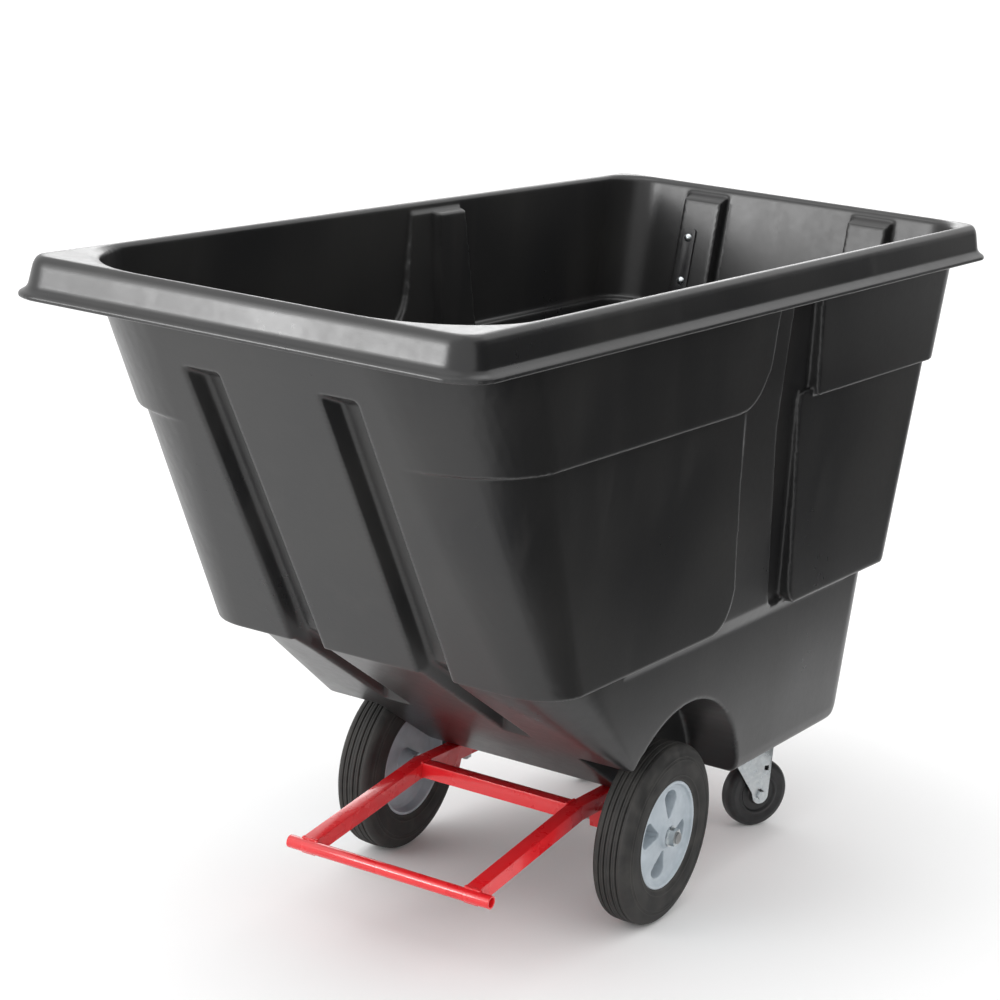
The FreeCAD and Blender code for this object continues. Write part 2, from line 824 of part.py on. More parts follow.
def band_corners(half, beyond):
    """Corners of a bent band of the given half depth along the rail's line, in the YZ plane."""
    drop = size("rail_height") - size("front_bar_height")
    fall = drop / (size("bend_position") - size("front_bar_position"))
    slope = math.atan(fall)
    half_turn = half * math.tan(slope / 2)
    front = dim("front_bar_position") - beyond
    front_height = dim("front_bar_height") - beyond * fall
    rise = half * (1 / math.cos(slope))
    rear = dim("rail_end") + beyond
    bend = dim("bend_position")
    return [
        (front, front_height - rise),
        (bend + half_turn, dim("rail_height") - half),
        (rear, dim("rail_height") - half),
        (rear, dim("rail_height") + half),
        (bend - half_turn, dim("rail_height") + half),
        (front, front_height + rise),
    ]


def square_tube_across(label, along):
    """A square cross tube between the rails."""
    body = new_body(label)
    half = dim("tube_side") * 0.5
    reach = (dim("rail_centre") - half) * 2
    sketch = new_sketch(body, "Outline", "YZ_Plane")
    add_polygon(sketch, box_corners(half, half))
    pad(body, sketch, reach)
    bore = new_sketch(body, "Bore", "YZ_Plane")
    inner = half - dim("tube_wall")
    add_polygon(bore, box_corners(inner, inner))
    pocket(body, bore, reach + 20)
    return settle(body, y=along, z=size("rail_height"))


def round_bar(label, radius, bore, reach, y, z):
    """A round tube or bar along X, with an optional bore."""
    body = new_body(label)
    sketch = new_sketch(body, "Outline", "YZ_Plane")
    add_circle(sketch, 0, 0, radius)
    pad(body, sketch, reach)
    if bore is not None:
        hole = new_sketch(body, "Bore", "YZ_Plane")
        add_circle(hole, 0, 0, bore)
        pocket(body, hole, reach + 20)
    return settle(body, y=y, z=z)


def axle_bracket(label, side):
    """A plate block welded under the rail, with a bore for the axle."""
    body = new_body(label)
    half = dim("bracket_length") * 0.5
    top = dim("rail_height") - dim("tube_side") * 0.5 - dim("axle_height")
    foot = top - dim("bracket_depth")
    sketch = new_sketch(body, "Outline", "YZ_Plane")
    add_polygon(sketch, [(-half, top), (-half * 0.56, foot), (half * 0.56, foot), (half, top)])
    pad(body, sketch, dim("tube_side"))
    bore = new_sketch(body, "Bore", "YZ_Plane")
    add_circle(bore, 0, 0, dim("axle_radius") + 0.05)
    pocket(body, bore, dim("tube_side") + 20)
    return settle(body, x=side * size("rail_centre"), z=size("axle_height"))


def caster_mount(label, side):
    """A plate welded under the rail that carries a caster on four bolts."""
    body = new_body(label)
    sketch = new_sketch(body, "Outline", "XY_Plane")
    add_polygon(sketch, box_corners(dim("mount_x") * 0.5, dim("mount_y") * 0.5))
    pad(body, sketch, dim("mount_thickness"), symmetric=False)
    holes = new_sketch(body, "BoltHoles", "XY_Plane")
    for x in (-dim("caster_bolt_x"), dim("caster_bolt_x")):
        for y in (-dim("caster_bolt_y"), dim("caster_bolt_y")):
            add_circle(holes, x, y, 4.3)
    pocket(body, holes, 60)
    return settle(body, x=side * size("caster_across"), y=size("caster_along"), z=mount_foot())


def mount_foot():
    """Height of the underside of the caster mounts."""
    return size("rail_height") - size("tube_side") / 2 - size("mount_thickness")


rail("rail_left", -1)
rail("rail_right", 1)
square_tube_across("front_cross_tube", size("bend_position"))
square_tube_across("rear_cross_tube", size("rear_tube_position"))
round_bar("front_bar", dim("front_bar_radius"), dim("front_bar_bore"), dim("front_bar_half") * 2,
          size("front_bar_position"), size("front_bar_height"))
axle_bracket("axle_bracket_left", -1)
axle_bracket("axle_bracket_right", 1)
caster_mount("caster_mount_left", -1)
caster_mount("caster_mount_right", 1)


def floor_bolts():
    """Bolts through the hopper floor and the rails, with their washers and nuts."""
    radius = size("floor_bolt_radius")
    top = size("floor_height") + size("skin")
    foot = size("rail_height") - size("tube_side") / 2
    bolts, washers, nuts = [], [], []
    for x, y in floor_bolt_points():
        bolts.append(bolt(radius, 16.0, 6.4, Vec(x, y, top + 2.5), Vec(x, y, foot - 12)))
        washers.append(ring(17.0, radius + 0.3, Vec(x, y, top), Vec(x, y, top + 2.5)))
        nuts.append(nut(radius, 16.0, Vec(x, y, foot - 8.4), Vec(x, y, foot)))
    shaped("floor_bolts", Part.makeCompound(bolts))
    shaped("floor_washers", Part.makeCompound(washers))
    shaped("floor_nuts", Part.makeCompound(nuts))


floor_bolts()

# ---------------------------------------------------------------- axle and main wheels

round_bar("axle", dim("axle_radius"), None, dim("axle_half") * 2, 0.0, size("axle_height"))


def hub_faces():
    """Inner and outer face of the hub boss on the right side, measured along X."""
    centre = size("wheel_centre")
    half = size("hub_boss_half")
    return centre - half, centre + half


def axle_fittings():
    """Spacers, washers and nuts that keep the wheels on the axle."""
    radius = size("axle_radius")
    gap = 0.3
    inner_face, outer_face = hub_faces()
    start = size("rail_centre") + size("tube_side") / 2
    spacers, washers, nuts = [], [], []
    for side in (-1, 1):
        def at(x):
            return Vec(side * x, 0, size("axle_height"))
        spacers.append(ring(size("spacer_radius"), radius + 0.05, at(start), at(inner_face - 2.5 - gap)))
        washers.append(ring(19.0, radius + 0.05, at(inner_face - 2.5 - gap), at(inner_face - gap)))
        washers.append(ring(17.5, radius + 0.05, at(outer_face + gap), at(outer_face + gap + 2.5)))
        nuts.append(nut(radius, 26.0, at(outer_face + gap + 2.5), at(outer_face + gap + 12.5)))
    shaped("axle_spacers", Part.makeCompound(spacers))
    shaped("axle_washers", Part.makeCompound(washers))
    shaped("axle_nuts", Part.makeCompound(nuts))


axle_fittings()


def tyre(label, side):
    """A ribbed rubber tyre, turned about the axle."""
    body = new_body(label)
    half = dim("tyre_half_width")
    outer = dim("tyre_radius")
    inner = dim("tyre_bore")
    sketch = new_sketch(body, "Profile", "XY_Plane")
    right = [(half - 5, inner), (half - 3, inner + 6), (half - 1.5, inner + 10), (half, inner + 22),
             (half - 1, outer - 22), (half - 3, outer - 12), (half - 8, outer - 4), (half - 15, outer)]
    left = [(-u, v) for u, v in reversed(right)]
    add_polygon(sketch, right + left)
    revolve(body, sketch)
    tread = new_sketch(body, "Tread", "XY_Plane")
    for across in (-14, -5, 5, 14):
        add_polygon(tread, [(across - 1.4, outer - 4), (across + 1.4, outer - 4),
                            (across + 2.4, outer + 3), (across - 2.4, outer + 3)])
    revolve(body, tread, "PartDesign::Groove")
    return settle(body, x=side * size("wheel_centre"), z=size("axle_height"))


def hub(label, side):
    """A plastic wheel centre: ring, disc, boss and four tapering pockets."""
    body = new_body(label)
    half = dim("hub_half_width")
    outer = dim("tyre_bore")
    ring_inner = dim("hub_ring_inner")
    boss = dim("hub_boss_radius")
    boss_half = dim("hub_boss_half")
    front = dim("hub_disc_front")
    back = dim("hub_disc_back")
    bore = dim("bushing_radius")
    sketch = new_sketch(body, "Profile", "XY_Plane")
    add_polygon(sketch, [(-boss_half, bore), (boss_half, bore), (boss_half, boss - 2), (boss_half - 2, boss),
                         (front + 5, boss + 3), (front, ring_inner - 6), (front + 3, ring_inner),
                         (half, ring_inner + 2), (half, outer), (-half, outer), (-half, ring_inner + 2),
                         (back - 3, ring_inner), (back, ring_inner - 6), (back, boss + 2),
                         (-boss_half, boss)])
    revolve(body, sketch)
    face = new_sketch(body, "Pockets", "YZ_Plane", size("hub_disc_front") + 8)
    for number in range(4):
        add_polygon(face, pocket_corners(math.radians(90 * number - 12)))
    pocket(body, face, dim("hub_pocket_depth") + 8, symmetric=False, backwards=False)
    rotation = FreeCAD.Rotation(Z_AXIS, 180) if side < 0 else None
    return settle(body, x=side * size("wheel_centre"), z=size("axle_height"), rotation=rotation)


def pocket_corners(phase):
    """A teardrop that starts narrow by the boss and ends in a wide round shoulder."""
    inner_radius, outer_radius = 27.0, 74.0
    corners = []
    for step in range(13):
        turn = math.pi * step / 12
        spread = math.radians(20) * math.cos(turn)
        radius = outer_radius - 13 + 13 * math.sin(turn)
        corners.append((radius, phase + spread))
    for spread in (-6, 6):
        corners.append((inner_radius, phase + math.radians(spread)))
    return [(radius * math.cos(angle), radius * math.sin(angle)) for radius, angle in corners]


def bushing(label, side):
    """A steel sleeve pressed into the hub, running on the axle."""
    body = new_body(label)
    length = dim("hub_boss_half") * 2
    sketch = new_sketch(body, "Outline", "YZ_Plane")
    add_circle(sketch, 0, 0, dim("bushing_radius"))
    pad(body, sketch, length)
    hole = new_sketch(body, "Bore", "YZ_Plane")
    add_circle(hole, 0, 0, dim("axle_radius") + dim("running_gap"))
    pocket(body, hole, length + 20)
    return settle(body, x=side * size("wheel_centre"), z=size("axle_height"))


for side, name in ((-1, "left"), (1, "right")):
    tyre(f"tyre_{name}", side)
    hub(f"hub_{name}", side)
    bushing(f"bushing_{name}", side)

# ---------------------------------------------------------------- casters


def caster_plate(label, x, y, top):
    """The caster's top plate with the pressed boss that holds the kingpin."""
    body = new_body(label)
    thickness = dim("caster_plate_thickness")
    sketch = new_sketch(body, "Outline", "XY_Plane")
    add_polygon(sketch, box_corners(dim("caster_plate_x") * 0.5, dim("caster_plate_y") * 0.5))
    pad(body, sketch, thickness, symmetric=False, backwards=True)
    round_edges(body, 9.0, lambda edge: abs(edge.BoundBox.ZLength - thickness.value) < 1e-3)
    boss = new_sketch(body, "Boss", "XY_Plane", -size("caster_plate_thickness"))
    add_circle(boss, 0, 0, 27.0)
    pad(body, boss, 4.5, symmetric=False, backwards=True)
    holes = new_sketch(body, "Holes", "XY_Plane")
    add_circle(holes, 0, 0, dim("kingpin_radius"))
    for across in (-dim("caster_bolt_x"), dim("caster_bolt_x")):
        for along in (-dim("caster_bolt_y"), dim("caster_bolt_y")):
            add_circle(holes, across, along, 4.3)
    pocket(body, holes, 60)
    recess = new_sketch(body, "HeadRecess", "XY_Plane")
    add_circle(recess, 0, 0, dim("kingpin_head") + 0.1)
    pocket(body, recess, dim("kingpin_head_depth") * 2)
    return settle(body, x=x, y=y, z=top)


def caster_head_height():
    """Underside of the pressed boss, where the swivel race runs."""
    return mount_foot() - size("caster_plate_thickness") - 4.5


def kingpin(label, x, y):
    """The pin that holds the fork up: a low head above, a hexagon nut below."""
    radius = size("kingpin_radius")
    top = mount_foot()
    under_fork = size("fork_top_height") - size("fork_thickness") - 0.3
    head_foot = top - size("kingpin_head_depth")
    head = cylinder(size("kingpin_head"), Vec(0, 0, head_foot), Vec(0, 0, top - 0.1))
    shank = cylinder(radius - 0.06, Vec(0, 0, under_fork - 9), Vec(0, 0, head_foot + 1))
    washer = hexagon(19.0, Vec(0, 0, under_fork - 7.5), Vec(0, 0, under_fork))
    return shaped(label, head.fuse([shank, washer]).removeSplitter(), x, y)


def fork_shape():
    """A pressed steel fork about its swivel axis; the wheel trails towards +Y."""
    thickness = size("fork_thickness")
    inner = size("fork_inner_half")
    outer = inner + thickness
    top = size("fork_top_height")
    axle_height = size("caster_wheel_radius")
    trail = size("caster_trail")
    legs_outline = [(-30, top + 1, 0), (-31, top - 12, 6), (trail - 17, axle_height + 2, 30),
                    (trail - 16, axle_height - 17, 16), (trail + 16, axle_height - 17, 16),
                    (trail + 18, top + 1, 0)]
    channel = Part.makeBox(2 * outer, 140, top - 20, Vec(-outer, -60, 20))
    hollow = Part.makeBox(2 * inner, 160, top - thickness - 10, Vec(-inner, -70, 10))
    shell = channel.cut(hollow)
    legs = shell.common(side_prism(legs_outline, -100, 100))
    crown = cylinder(28.0, Vec(0, 0, top - thickness), Vec(0, 0, top))
    race = ring(25.0, size("kingpin_radius") + size("running_gap"), Vec(0, 0, top),
                Vec(0, 0, caster_head_height() - 0.3))
    fork = legs.fuse([crown, race])
    fork = fork.cut(cylinder(size("kingpin_radius"), Vec(0, 0, top - 20), Vec(0, 0, top + 20)))
    fork = fork.cut(cylinder(size("caster_axle_radius"), Vec(-60, trail, axle_height),
                             Vec(60, trail, axle_height)))
    fork = fork.cut(Part.makeBox(120, 9, 9, Vec(-60, trail + 3, axle_height + 46)))
    return fork.removeSplitter()


def caster_wheel(label, x, y, turn):
    """A solid black wheel with raised rings on its faces."""
    body = new_body(label)
    outer = dim("caster_wheel_radius")
    half = dim("caster_wheel_half")
    bore = dim("caster_axle_radius") + 3.0 + 0.06
    sketch = new_sketch(body, "Profile", "XY_Plane")
    right = [(half + 2.4, bore), (half + 2.4, 17.0), (half - 4, 20.0), (half - 4, 33.0), (half - 1, 35.0),
             (half - 1, 38.0), (half - 2, 40.0), (half, outer - 12), (half - 1.5, outer - 5),
             (half - 6, outer - 1), (half - 11, outer)]
    left = [(-u, v) for u, v in reversed(right)]
    add_polygon(sketch, right + left)
    revolve(body, sketch)
    return settle(body, *trailing_point(x, y, turn), rotation=FreeCAD.Rotation(Z_AXIS, turn))


def trailing_point(x, y, turn):
    """Centre of the caster wheel for a fork turned about its swivel."""
    angle = math.radians(turn)
    trail = size("caster_trail")
    return x - trail * math.sin(angle), y + trail * math.cos(angle), size("caster_wheel_radius")


def caster_axle_parts(name, x, y, turn):
    """Axle bolt, sleeve and nut of one caster wheel."""
    radius = size("caster_axle_radius")
    outer = size("fork_inner_half") + size("fork_thickness")
    inner = size("fork_inner_half")
    place = trailing_point(x, y, turn)
    rotation = FreeCAD.Rotation(Z_AXIS, turn)
    axle_bolt = bolt(radius - 0.02, 15.0, 5.5, Vec(outer, 0, 0), Vec(-outer - 11, 0, 0))
    shaped(f"caster_axle_bolt_{name}", axle_bolt, *place, rotation=rotation)
    shaped(f"caster_axle_nut_{name}", nut(radius - 0.02, 15.0, Vec(-outer, 0, 0), Vec(-outer - 8, 0, 0)),
           *place, rotation=rotation)
    shaped(f"caster_sleeve_{name}", ring(radius + 3.0, radius + 0.02, Vec(-inner, 0, 0), Vec(inner, 0, 0)),
           *place, rotation=rotation)


for side, name, turn_alias in ((-1, "left", "caster_turn_far"), (1, "right", "caster_turn_near")):
    x = side * size("caster_across")
    y = size("caster_along")
    turn = size(turn_alias)
    caster_plate(f"caster_plate_{name}", x, y, mount_foot())
    kingpin(f"caster_kingpin_{name}", x, y)
    shaped(f"caster_fork_{name}", fork_shape(), x, y, 0.0, FreeCAD.Rotation(Z_AXIS, turn))
    caster_axle_parts(name, x, y, turn)
    caster_wheel(f"caster_wheel_{name}", x, y, turn)


def caster_fixings():
    """Bolts and nuts that hold the two caster plates to their mounts."""
    bolts, nuts = [], []
    under = mount_foot() - size("caster_plate_thickness")
    top = mount_foot() + size("mount_thickness")
    for side in (-1, 1):
        for across in at_both_sides(size("caster_bolt_x")):
            for along in at_both_sides(size("caster_bolt_y")):
                x = side * size("caster_across") + across
                y = size("caster_along") + along
                bolts.append(bolt(4.0, 13.0, 5.3, Vec(x, y, under), Vec(x, y, top + 10)))
                nuts.append(nut(4.0, 13.0, Vec(x, y, top), Vec(x, y, top + 6.8)))
    shaped("caster_bolts", Part.makeCompound(bolts))
    shaped("caster_nuts", Part.makeCompound(nuts))


caster_fixings()

# ---------------------------------------------------------------- push handle


def handle():
    """A bent tube: two legs nested in the rear channels and a grip across behind the rim."""
    radius = size("handle_tube_radius")
    up = channel_direction()
    outward = channel_normal()
    foot = Vec(0, rear_of_channel(size("handle_bolt_low")), size("handle_bolt_low"))
    line = foot + outward * (radius + 0.1)
    reach = size("handle_reach")
    height = size("handle_height")
    top = line + up * 100
    bend = line - up * 80
    across = size("handle_across")
    left, right = Vec(-across, 0, 0), Vec(across, 0, 0)
    corners = [(top + left, 0), (bend + left, 38), (Vec(-across, reach, height), 45),
               (Vec(across, reach, height), 45), (bend + right, 38), (top + right, 0)]
    path = Part.Wire(rounded_edges(corners, closed=False))
    tubes = []
    for bore in (radius, size("handle_tube_bore")):
        start = Part.Wire(Part.Circle(top + left, up, bore).toShape())
        tubes.append(path.makePipeShell([start], True, False))
    tube = tubes[0].cut(tubes[1])
    for point in handle_bolt_points():
        hole = cylinder(size("handle_bolt_radius") + 0.3, point - outward * 5, point + outward * 40)
        tube = tube.cut(hole)
    return tube


def backing_plate(label, side):
    """A flat bar inside the hopper that spreads the load of two handle bolts."""
    up = channel_direction()
    outward = channel_normal()
    middle = (size("handle_bolt_low") + size("handle_bolt_high")) / 2
    face = Vec(side * size("handle_across"), rear_of_channel(middle), middle) - outward * skin_depth()
    half_width = size("plate_width") / 2
    half_length = size("plate_length") / 2
    corners = []
    for across, along in ((-1, -1), (1, -1), (1, 1), (-1, 1)):
        corners.append((face + X_AXIS * (across * half_width) + up * (along * half_length), 6.0))
    plate = Part.Face(Part.Wire(rounded_edges(corners))).extrude(-outward * size("plate_thickness"))
    for point in handle_bolt_points():
        if point.x * side > 0:
            hole = cylinder(size("handle_bolt_radius") + 0.3, point - outward * 25, point)
            plate = plate.cut(hole)
    return shaped(label, plate)


def skin_depth():
    """Thickness of the rear channel floor, measured square to it."""
    return size("skin") * channel_direction().z


def handle_fixings():
    """Round-headed bolts from the inside, with their nuts outside on the handle tube."""
    outward = channel_normal()
    radius = size("handle_bolt_radius")
    inside = skin_depth() + size("plate_thickness")
    outside = 2 * size("handle_tube_radius") + 0.1
    bolts, nuts = [], []
    for point in handle_bolt_points():
        seat = point - outward * inside
        head = Part.makeSphere(8.5, seat + outward * 3.5)
        side = Part.makeBox(60, 60, 60, Vec(-30, -30, -60))
        side.Placement = FreeCAD.Placement(seat, FreeCAD.Rotation(Z_AXIS, outward))
        head = head.common(side)
        shank = cylinder(radius, seat - outward, point + outward * (outside + 10))
        bolts.append(head.fuse(shank).removeSplitter())
        nuts.append(nut(radius, 13.0, point + outward * outside, point + outward * (outside + 6.8)))
    shaped("handle_bolts", Part.makeCompound(bolts))
    shaped("handle_nuts", Part.makeCompound(nuts))


shaped("push_handle", handle())
backing_plate("handle_plate_left", -1)
backing_plate("handle_plate_right", 1)
handle_fixings()

# ---------------------------------------------------------------- check and export

document.recompute()
for item in document.Objects:
    if "Invalid" in item.State or "Error" in item.State:
        raise RuntimeError(f"{item.Label} is in state {item.State}")
os.makedirs("parts", exist_ok=True)
for piece in pieces:
    if piece.Shape.isNull() or not piece.Shape.isValid():
        raise RuntimeError(f"{piece.Label} has no valid shape")
    piece.Shape.exportStep(f"parts/{piece.Label}.step")
    print(piece.Label, len(piece.Shape.Solids), round(piece.Shape.Volume / 1000, 1))
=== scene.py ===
"""Looks of the tilt truck: softened mouldings, rounded tube, ribbed tyres and a plain pale studio."""

import json
import math

import bmesh
import bpy
from mathutils import Matrix, Vector


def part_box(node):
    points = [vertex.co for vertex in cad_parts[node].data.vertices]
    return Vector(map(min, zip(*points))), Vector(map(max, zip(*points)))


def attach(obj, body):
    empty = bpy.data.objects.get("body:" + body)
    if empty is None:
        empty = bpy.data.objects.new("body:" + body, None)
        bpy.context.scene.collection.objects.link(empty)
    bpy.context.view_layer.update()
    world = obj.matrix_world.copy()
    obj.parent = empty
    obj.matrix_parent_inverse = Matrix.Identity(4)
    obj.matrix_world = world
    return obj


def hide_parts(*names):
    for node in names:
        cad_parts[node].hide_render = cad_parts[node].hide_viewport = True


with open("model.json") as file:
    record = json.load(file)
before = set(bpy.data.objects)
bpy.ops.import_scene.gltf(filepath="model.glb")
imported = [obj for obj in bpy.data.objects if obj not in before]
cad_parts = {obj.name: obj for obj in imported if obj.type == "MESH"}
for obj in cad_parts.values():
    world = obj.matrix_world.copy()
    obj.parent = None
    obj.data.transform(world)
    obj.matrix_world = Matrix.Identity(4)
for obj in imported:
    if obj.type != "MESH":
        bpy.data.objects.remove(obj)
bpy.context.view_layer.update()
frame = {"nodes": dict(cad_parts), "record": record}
nodes = frame["nodes"]
slot_of = {part["node"]: part["material_slot"] for part in frame["record"]["subparts"]}
bodies = frame["record"]["behaviour"]["bodies"]
body_of = {node: body for body, members in bodies.items() for node in members}


# ---------------------------------------------------------------- finishes


class Finish:
    """A material whose colour, roughness and relief come from nodes in the object's own coordinates."""

    def __init__(self, name, metallic=0.0, specular=0.5, coat=0.0, coat_roughness=0.1):
        self.material = bpy.data.materials.new(name)
        self.material.use_nodes = True
        self.tree = self.material.node_tree
        self.shader = self.tree.nodes["Principled BSDF"]
        self.shader.inputs["Metallic"].default_value = metallic
        self.shader.inputs["Specular IOR Level"].default_value = specular
        self.shader.inputs["Coat Weight"].default_value = coat
        self.shader.inputs["Coat Roughness"].default_value = coat_roughness
        self.place = self.tree.nodes.new("ShaderNodeTexCoord").outputs["Object"]

    def feed(self, socket, value):
        """Link an output to a socket, or set the socket to a plain value."""
        if isinstance(value, bpy.types.NodeSocket):
            self.tree.links.new(value, socket)
        else:
            socket.default_value = value

    def noise(self, scale, detail=3.0, stretch=(1.0, 1.0, 1.0), distortion=0.0):
        """Noise of that many waves per metre, optionally stretched along an axis."""
        mapping = self.tree.nodes.new("ShaderNodeMapping")
        mapping.inputs["Scale"].default_value = stretch
        self.feed(mapping.inputs["Vector"], self.place)
        node = self.tree.nodes.new("ShaderNodeTexNoise")
        self.feed(node.inputs["Vector"], mapping.outputs["Vector"])
        node.inputs["Scale"].default_value = scale
        node.inputs["Detail"].default_value = detail
        node.inputs["Distortion"].default_value = distortion
        return node.outputs["Fac"]

    def spread(self, value, low, high, at_low, at_high):
        """Map the range low to high onto at_low to at_high, clamped."""
        node = self.tree.nodes.new("ShaderNodeMapRange")
        self.feed(node.inputs["Value"], value)
        node.inputs["From Min"].default_value = low
        node.inputs["From Max"].default_value = high
        node.inputs["To Min"].default_value = at_low
        node.inputs["To Max"].default_value = at_high
        return node.outputs["Result"]

    def combine(self, operation, first, second):
        """A maths node of two values."""
        node = self.tree.nodes.new("ShaderNodeMath")
        node.operation = operation
        self.feed(node.inputs[0], first)
        self.feed(node.inputs[1], second)
        return node.outputs[0]

    def blend(self, share, first, second):
        """Mix two colours by a share."""
        node = self.tree.nodes.new("ShaderNodeMix")
        node.data_type = "RGBA"
        self.feed(node.inputs["Factor"], share)
        colours = [socket for socket in node.inputs if socket.type == "RGBA"]
        for socket, colour in zip(colours, (first, second)):
            self.feed(socket, (*colour, 1.0) if isinstance(colour, tuple) else colour)
        return next(socket for socket in node.outputs if socket.type == "RGBA")

    def edges(self, low=0.51, high=0.56):
        """High on the object's outer edges, low elsewhere."""
        node = self.tree.nodes.new("ShaderNodeNewGeometry")
        return self.spread(node.outputs["Pointiness"], low, high, 0.0, 1.0)

    def relief(self, *layers):
        """Bump from (height, distance in metres, strength) layers laid over each other."""
        normal = None
        for height, distance, strength in layers:
            node = self.tree.nodes.new("ShaderNodeBump")
            node.inputs["Distance"].default_value = distance
            node.inputs["Strength"].default_value = strength
            self.feed(node.inputs["Height"], height)
            if normal is not None:
                self.feed(node.inputs["Normal"], normal)
            normal = node.outputs["Normal"]
        self.feed(self.shader.inputs["Normal"], normal)

    def finish(self, colour, roughness):
        """Feed the shader and hand over the material."""
        self.feed(self.shader.inputs["Base Color"], colour)
        self.feed(self.shader.inputs["Roughness"], roughness)
        return self.material


def polyethylene():
    """Rotomoulded black plastic: cloudy gloss, a fine leathery grain, and outer edges painted paler, partly
    as scuffing and partly as a painted highlight along the edges.
    """
    made = Finish("polyethylene", specular=0.5)
    clouds = made.noise(4.0, detail=1.0)
    smears = made.noise(16.0, detail=2.0, stretch=(1.0, 1.0, 0.22), distortion=0.4)
    mottle = made.noise(75.0, detail=2.0)
    dimples = made.noise(140.0, detail=1.0)
    grain = made.noise(900.0, detail=1.0)
    cloudy = made.spread(clouds, 0.35, 0.7, 0.0, 1.0)
    tone = made.blend(cloudy, (0.0115, 0.0115, 0.012), (0.018, 0.0175, 0.017))
    tone = made.blend(made.spread(smears, 0.55, 0.8, 0.0, 0.5), tone, (0.026, 0.025, 0.024))
    # Painted highlight and scuffing: the outer edges are painted paler, broken up by the mottle.
    scuffs_and_painted_highlight = made.combine("MULTIPLY", made.edges(), made.spread(mottle, 0.35, 0.65, 0.15, 0.6))
    tone = made.blend(scuffs_and_painted_highlight, tone, (0.055, 0.055, 0.055))
    gloss = made.spread(clouds, 0.3, 0.7, 0.28, 0.36)
    gloss = made.combine("ADD", gloss, made.spread(mottle, 0.3, 0.7, -0.01, 0.02))
    gloss = made.combine("ADD", gloss, made.spread(smears, 0.5, 0.8, 0.0, 0.04))
    made.relief((clouds, 0.002, 0.15), (dimples, 0.0002, 0.25), (grain, 0.0001, 0.3))
    return made.finish(tone, gloss)


def frame_paint():
    """Glossy red paint on welded tube."""
    made = Finish("frame_paint", specular=0.5, coat=0.6, coat_roughness=0.08)
    peel = made.noise(260.0, detail=2.0)
    patches = made.noise(22.0, detail=4.0)
    tone = made.blend(made.spread(patches, 0.35, 0.7, 0.0, 1.0), (0.70, 0.008, 0.014), (0.80, 0.018, 0.024))
    worn = made.combine("MULTIPLY", made.edges(0.53, 0.6), made.spread(patches, 0.45, 0.7, 0.0, 0.5))
    tone = made.blend(worn, tone, (0.32, 0.02, 0.02))
    made.relief((peel, 0.0003, 0.4))
    return made.finish(tone, made.spread(patches, 0.3, 0.7, 0.22, 0.34))


def zinc():
    """Zinc-plated steel with a slightly cloudy sheen."""
    made = Finish("zinc", metallic=1.0)
    clouds = made.noise(90.0, detail=4.0)
    grain = made.noise(1400.0, detail=2.0)
    tone = made.blend(made.spread(clouds, 0.35, 0.7, 0.0, 1.0), (0.52, 0.56, 0.58), (0.72, 0.75, 0.76))
    made.relief((clouds, 0.0003, 0.3), (grain, 0.00005, 0.4))
    return made.finish(tone, made.spread(clouds, 0.3, 0.7, 0.24, 0.42))


def axle_steel():
    """Plain turned steel, greyer and oilier than the plated parts."""
    made = Finish("axle_steel", metallic=1.0)
    lines = made.noise(500.0, detail=2.0, stretch=(6.0, 1.0, 1.0))
    clouds = made.noise(60.0, detail=4.0)
    tone = made.blend(made.spread(clouds, 0.35, 0.7, 0.0, 1.0), (0.30, 0.30, 0.30), (0.48, 0.48, 0.47))
    made.relief((lines, 0.0001, 0.4))
    return made.finish(tone, made.spread(lines, 0.3, 0.7, 0.3, 0.45))


def tyre_rubber():
    """Dull black rubber, greyer where dust has settled."""
    made = Finish("tyre_rubber", specular=0.35)
    dust = made.noise(28.0, detail=6.0, distortion=0.5)
    grain = made.noise(700.0, detail=3.0)
    tone = made.blend(made.spread(dust, 0.4, 0.72, 0.0, 1.0), (0.024, 0.0235, 0.023), (0.050, 0.048, 0.045))
    tone = made.blend(made.combine("MULTIPLY", made.edges(), 0.4), tone, (0.10, 0.095, 0.088))
    made.relief((dust, 0.0004, 0.4), (grain, 0.00015, 0.6))
    return made.finish(tone, made.spread(dust, 0.3, 0.7, 0.62, 0.82))


def hub_plastic():
    """Satin blue-grey moulding."""
    made = Finish("hub_plastic", specular=0.5)
    clouds = made.noise(35.0, detail=4.0)
    grain = made.noise(1100.0, detail=2.0)
    tone = made.blend(made.spread(clouds, 0.35, 0.7, 0.0, 1.0), (0.36, 0.41, 0.45), (0.45, 0.50, 0.54))
    tone = made.blend(made.combine("MULTIPLY", made.edges(), 0.35), tone, (0.46, 0.5, 0.53))
    made.relief((clouds, 0.0003, 0.3), (grain, 0.00008, 0.5))
    return made.finish(tone, made.spread(clouds, 0.3, 0.7, 0.36, 0.5))


def caster_wheel_black():
    """Smooth black moulded wheel."""
    made = Finish("caster_wheel", specular=0.5)
    clouds = made.noise(70.0, detail=4.0)
    grain = made.noise(1300.0, detail=2.0)
    cloudy = made.spread(clouds, 0.35, 0.7, 0.0, 1.0)
    tone = made.blend(cloudy, (0.010, 0.010, 0.011), (0.022, 0.022, 0.023))
    made.relief((clouds, 0.0003, 0.3), (grain, 0.00005, 0.5))
    return made.finish(tone, made.spread(clouds, 0.3, 0.7, 0.3, 0.5))


def handle_paint():
    """Satin black powder coat."""
    made = Finish("handle_paint", specular=0.5)
    peel = made.noise(650.0, detail=2.0)
    clouds = made.noise(40.0, detail=3.0)
    cloudy = made.spread(clouds, 0.35, 0.7, 0.0, 1.0)
    tone = made.blend(cloudy, (0.010, 0.010, 0.011), (0.020, 0.020, 0.021))
    tone = made.blend(made.combine("MULTIPLY", made.edges(0.53, 0.6), 0.3), tone, (0.09, 0.09, 0.09))
    made.relief((peel, 0.00025, 0.5))
    return made.finish(tone, made.spread(clouds, 0.3, 0.7, 0.34, 0.48))


